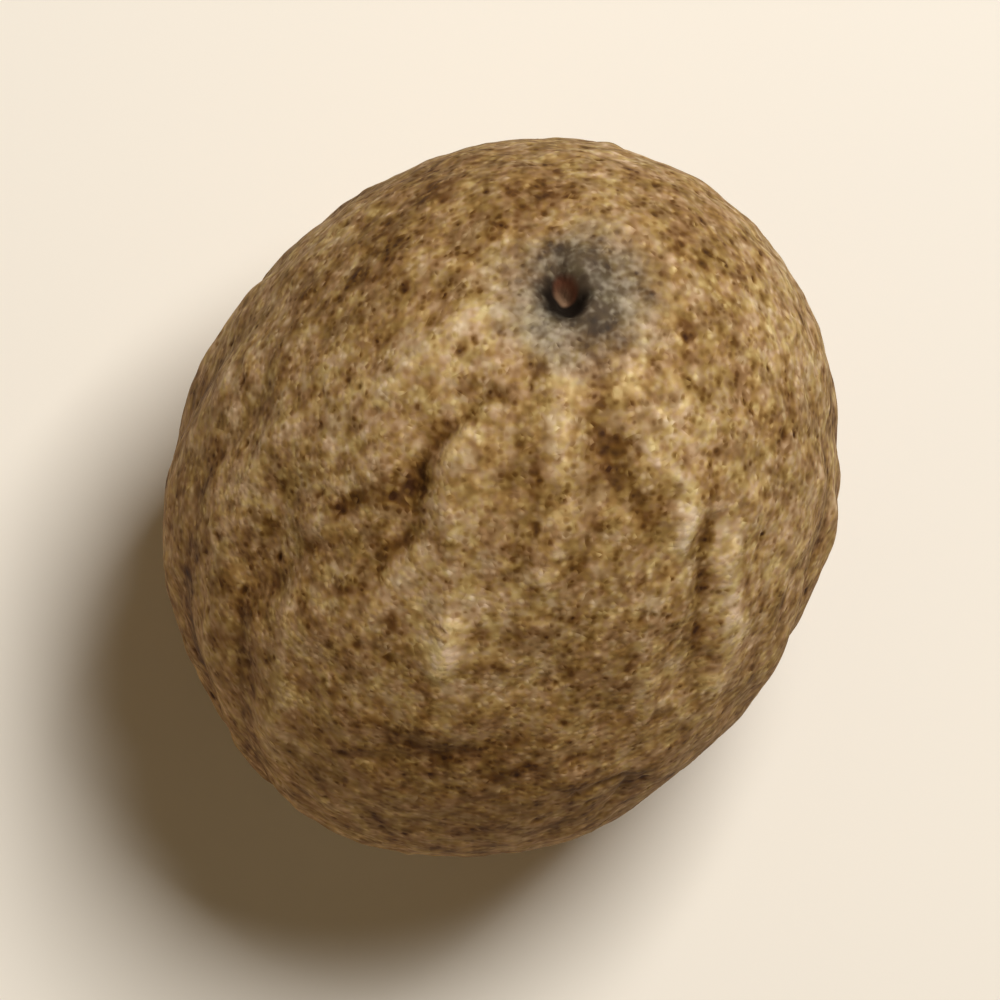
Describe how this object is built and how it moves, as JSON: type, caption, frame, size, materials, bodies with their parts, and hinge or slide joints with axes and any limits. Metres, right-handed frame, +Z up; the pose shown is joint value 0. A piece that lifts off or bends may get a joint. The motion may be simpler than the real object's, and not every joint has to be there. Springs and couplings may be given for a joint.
{
  "type": "whole nutmeg",
  "caption": "Whole dried nutmeg, an egg-shaped furrowed brown seed with a small pit at one end and a pale scar at the other, resting on a small flat spot.",
  "frame": {"origin": "on the surface that the seed rests on, under the middle of its box", "axes": "+Z up, along the longest side of the box; the pitted end points up and leans towards +X and +Y, and the scarred end is low at -Y"},
  "size_m": [0.021, 0.0222, 0.0239],
  "materials": {
    "seed_coat": "dry, matt brown seed coat, finely netted with paler veins and pricked with dark pinholes"
  },
  "bodies": {
    "root": {"nutmeg": "seed_coat"}
  },
  "joints": []
}
